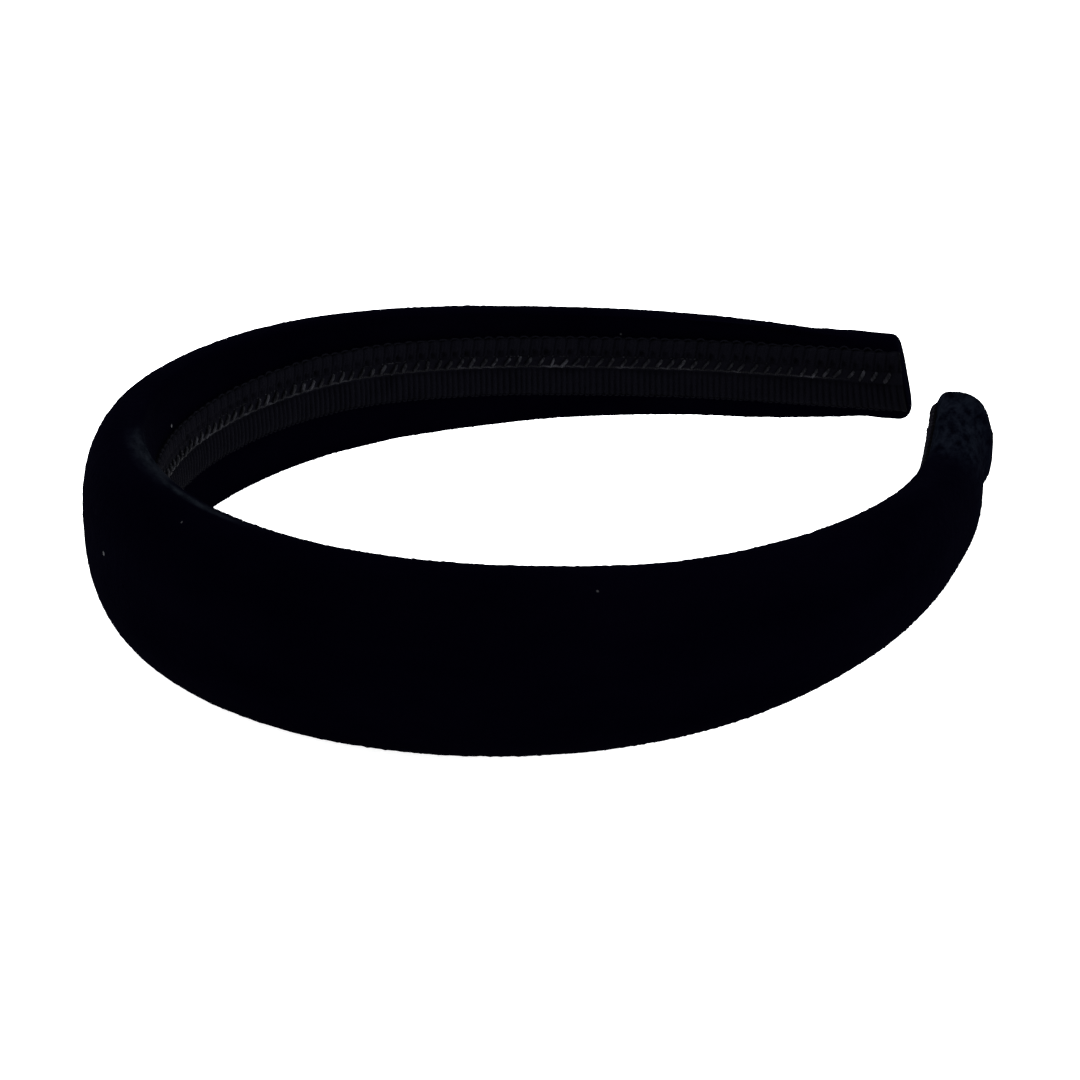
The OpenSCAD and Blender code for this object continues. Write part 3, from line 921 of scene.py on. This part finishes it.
def yarn(paths, radius, sides=6):
    """Points and faces of closed tubes along paths, an array of tubes by points of six values."""
    count, length = paths.shape[:2]
    at = paths[..., :3]
    ahead = np.gradient(at, axis=1)
    ahead /= np.linalg.norm(ahead, axis=2, keepdims=True) + 1e-12
    up = np.zeros_like(at)
    up[..., 2] = 1
    over = np.cross(ahead, up)
    weak = np.linalg.norm(over, axis=2) < 0.2
    over[weak] = np.cross(ahead[weak], [1.0, 0, 0])
    over /= np.linalg.norm(over, axis=2, keepdims=True)
    under = np.cross(over, ahead)
    turn = ring(sides)
    taper = np.sqrt(np.clip(1 - np.linspace(-1, 1, length) ** 8, 0.15, 1))[None, :, None, None]
    thick = np.broadcast_to(np.asarray(radius, float), (count,))[:, None, None, None] * taper
    wall = np.cos(turn)[:, None] * over[:, :, None] + np.sin(turn)[:, None] * under[:, :, None]
    pattern = np.broadcast_to(paths[:, :, None, 3:], wall.shape) + wall * thick * 0.7
    rings = np.concatenate([at[:, :, None] + wall * thick * MM, pattern], -1)
    points, faces = [], []
    for k in range(count):
        first = k * (length * sides + 2)
        points += [rings[k].reshape(-1, 6), paths[k, :1], paths[k, -1:]]
        faces += ring_faces(first, length, sides)
        faces += fan_faces(first, sides, first + length * sides, flip=True)
        faces += fan_faces(first + (length - 1) * sides, sides, first + length * sides + 1)
    return np.concatenate(points), faces


def joined(name, parts, joint_normals=None):
    points, faces, first = [], [], 0
    for part_points, part_faces in parts:
        faces += [[first + k for k in face] for face in part_faces]
        points.append(part_points)
        first += len(part_points)
    return new_object(name, np.concatenate(points), faces, joint_normals)


def make_stitching():
    """A row of slanted loops, with a straight cord under them and a thin one over them."""
    for side, sign in SIDES:
        end = braid_end(sign)
        marks = np.arange(STITCH_PITCH * 0.5, end - 2.0, STITCH_PITCH)
        marks = sign * (marks + random.normal(0, 0.08, len(marks)))[:, None]
        t = np.linspace(0, 1, 9)[None]
        sway = random.normal(0, 0.08, (len(marks), 1))
        reach = 0.78 + random.normal(0, 0.12, (len(marks), 1))
        lean = 0.42 + random.normal(0, 0.08, (len(marks), 1))
        bend = np.sin((t - 0.5) * np.pi)
        s = marks - lean * bend
        z = 0.85 + sway + (t - 0.5) * 2 * reach
        height = 0.5 + 0.34 * np.sin(np.pi * t) ** 0.6
        radius = 0.27 + random.normal(0, 0.035, len(marks))
        loops = yarn(on_braid(s, z, height), radius)
        run = sign * steps(end - 1.2, 0.7)
        low = 0.05 + 0.09 * np.sin(run * 2 * np.pi / STITCH_PITCH)
        cord = on_braid(run, low, np.full_like(run, 0.38))[None]
        high = ROW_HIGH + 0.1 + 0.05 * np.sin(run * 2 * np.pi / STITCH_PITCH)
        edge_cord = on_braid(run, high, np.full_like(run, 0.42))[None]
        parts = [loops, yarn(cord, 0.26), yarn(edge_cord, 0.14)]
        finish_half(joined(f"braid_stitch_{side}", parts), side, STITCH, "braid_stitch")


# ---------------------------------------------------------------- tip caps

CAP_COLUMNS = 96
CAP_ROWS, CAP_TIP_ROWS = 40, 12
CAP_BORE, CAP_FOOT = -0.04, 0.02
CAP_RAGGED = 0.35
CAP_RAMP = 3.0
CAP_LEAN = 0.7

# Each cap: its thickness, and how far its middle bulges over the dome and over the inner face
CAPS = {"right": (0.5, 0.85, 0.1), "left": (0.22, 0.0, 0.0)}

# How each cap closes over its tip: (size of the ring, height past the tip)
CAP_CLOSING = ((0.94, 0.16), (0.84, 0.3), (0.68, 0.42), (0.46, 0.5), (0.2, 0.55))


def make_tip_caps():
    """The folded ends: skins of their own, with a tongue over the dome, that close over the tips."""
    angles = ring(CAP_COLUMNS)
    cos, across = np.cos(angles)[None], side_share(angles)[None]
    share = np.linspace(0, 1, CAP_ROWS)[:, None] ** 1.15
    for side, sign in SIDES:
        thick, bulge, bulge_in = CAPS[side]
        ragged = soft_noise(3, CAP_COLUMNS, 2, 12)[0][None] * CAP_RAGGED
        starts = cap_start(angles)[None] + ragged
        along = starts + share * (ARM_LENGTH - TIP_ROUND - starts)
        rounded = smooth_step((along - starts) / CAP_RAMP) ** 0.7
        ends = np.broadcast_to(tip_steps(thick, CAP_TIP_ROWS)[:, None], (CAP_TIP_ROWS, CAP_COLUMNS))
        stations = np.concatenate([along, ends])
        rounded = np.concatenate([rounded, np.ones(ends.shape)])
        rows = len(stations)
        inside = np.clip((stations - starts) / (ARM_LENGTH + 1 - starts), 0, 1)
        raised = np.sin(np.pi * inside**CAP_LEAN) ** 1.2
        raised = raised * np.where(cos > 0, bulge, bulge_in) * np.abs(cos) ** 0.5
        lumps = soft_noise(rows, CAP_COLUMNS, 9, 9) * 0.2 + soft_noise(rows, CAP_COLUMNS, 24, 28) * 0.08
        lumps = lumps + pile(rows, CAP_COLUMNS)
        softness = min(1, thick * 1.6)
        held = np.where(cos < -0.3, 0.25, 1.0) * softness
        skin = rounded * (raised + lumps * held)
        grow = CAP_BORE + CAP_FOOT + (thick - CAP_BORE - CAP_FOOT) * rounded
        grow_in = CAP_BORE + CAP_FOOT + CAP_PINCH * rounded
        s, u, z = band(sign * stations, angles[None], grow, grow_in)
        outer = place(s, u + skin * cos, z + skin * across * 0.5)
        centre = centre_of(outer[-1])
        tip_way = np.zeros((1, 6))
        tip_way[0, :3] = np.array(point(sign * (ARM_LENGTH + 2))) - np.array(point(sign * ARM_LENGTH))
        tip_way /= np.linalg.norm(tip_way)
        closing = [
            centre + (outer[-1] - centre) * scale + tip_way * dome * softness * MM
            for scale, dome in CAP_CLOSING
        ]
        outer = np.concatenate([outer, np.array(closing)])
        bore_along = starts + np.linspace(0, 1, 8)[:, None] * (ARM_LENGTH - TIP_ROUND - starts)
        bore_ends = np.broadcast_to(tip_steps(CAP_BORE, 5)[:, None], (5, CAP_COLUMNS))
        bore = place(*band(sign * np.concatenate([bore_along, bore_ends]), angles[None], CAP_BORE))
        obj = shell(f"tip_cap_{side}", outer, bore, turn=sign > 0)
        obj.data.materials.append(TIP_VELVET)
        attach(obj, f"{side}_arm")
        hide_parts(f"{side}_tip_cap")


# ---------------------------------------------------------------- camera, floor and light

CAMERA_TARGET = (0.0, 61.014, 0.0)
CAMERA_AZIMUTH, CAMERA_ELEVATION, CAMERA_ROLL = 124.76, 22.527, -0.571
CAMERA_DISTANCE = 414.233
LENS, SENSOR = 92.17, 36.0
SHIFT_UP = -0.0465741


def make_camera():
    azimuth, elevation, roll = (math.radians(v) for v in (CAMERA_AZIMUTH, CAMERA_ELEVATION, CAMERA_ROLL))
    right = Vector((-math.cos(azimuth), math.sin(azimuth), 0))
    level = math.cos(elevation)
    forward = Vector((-math.sin(azimuth) * level, -math.cos(azimuth) * level, -math.sin(elevation)))
    up = right.cross(forward)
    x = math.cos(roll) * right - math.sin(roll) * up
    y = math.sin(roll) * right + math.cos(roll) * up
    target = (Vector(CAMERA_TARGET) + Vector((0, -LIE_MIDDLE_Y, LIE_HEIGHT))) * MM
    data = bpy.data.cameras.new("camera")
    data.lens = LENS
    data.sensor_width = SENSOR
    data.shift_y = SHIFT_UP
    data.clip_start = 0.01
    camera = bpy.data.objects.new("camera", data)
    bpy.context.scene.collection.objects.link(camera)
    turned = Matrix((x, y, -forward)).transposed().to_4x4()
    camera.matrix_world = Matrix.Translation(target - forward * CAMERA_DISTANCE * MM) @ turned
    bpy.context.scene.camera = camera


FLOOR_GLOW = 0.85
FLOOR_REACH = 4.0
FLOOR_DARK, FLOOR_LIGHT = (0.84, 0.84, 0.84), (0.88, 0.88, 0.88)
BELOW_BAND = 0.00005


def make_floor(height):
    """A pale table that glows like a light table, so that the band casts no visible shadow."""
    material, tree, shader = new_material(
        "floor", (0.86, 0.86, 0.86), 0.9, Specular_IOR_Level=0.1,
        Emission_Color=(1.0, 1.0, 1.0, 1), Emission_Strength=FLOOR_GLOW,
    )
    source = node(tree, "ShaderNodeTexCoord")
    grain = noise_of(tree, source.outputs["Object"], 60, 3)
    tone = ramp_of(tree, grain, [(0.0, FLOOR_DARK), (1.0, FLOOR_LIGHT)])
    tree.links.new(tone, shader.inputs["Base Color"])
    corners = np.zeros((4, 6))
    corners[:, :2] = np.array([(-1, -1), (1, -1), (1, 1), (-1, 1)]) * FLOOR_REACH
    corners[:, 2] = height
    floor = new_object("floor", corners, [[0, 1, 2, 3]])
    floor.data.materials.append(material)
    floor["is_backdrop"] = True


def area_light(name, position, aim, size, power, colour=(1, 1, 1)):
    data = bpy.data.lights.new(name, "AREA")
    data.shape = "DISK"
    data.size = size
    data.energy = power
    data.color = colour
    lamp = bpy.data.objects.new(name, data)
    bpy.context.scene.collection.objects.link(lamp)
    lamp.location = position
    lamp.rotation_euler = (Vector(aim) - Vector(position)).to_track_quat("-Z", "Y").to_euler()


def make_lights():
    world = bpy.data.worlds.new("studio")
    world.use_nodes = True
    back = world.node_tree.nodes["Background"]
    back.inputs["Color"].default_value = (0.97, 0.98, 1.0, 1)
    back.inputs["Strength"].default_value = 1.35
    bpy.context.scene.world = world
    area_light("overhead", (-0.25, 0.1, 0.9), (0, 0, 0), 0.7, 10)
    area_light("left_side", (-0.75, -0.35, 0.35), (0, 0, 0.01), 0.5, 5, (0.9, 0.96, 1.0))
    area_light("right_side", (0.6, 0.75, 0.4), (0, 0.05, 0.01), 0.45, 5, (0.85, 0.93, 1.0))
    bpy.context.scene.view_settings.view_transform = "Standard"


make_camera()
make_cover()
make_inner_layers()
make_braid()
make_glue()
make_stitching()
make_tip_caps()
bpy.context.view_layer.update()
make_floor(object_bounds()[0].z - BELOW_BAND)
make_lights()
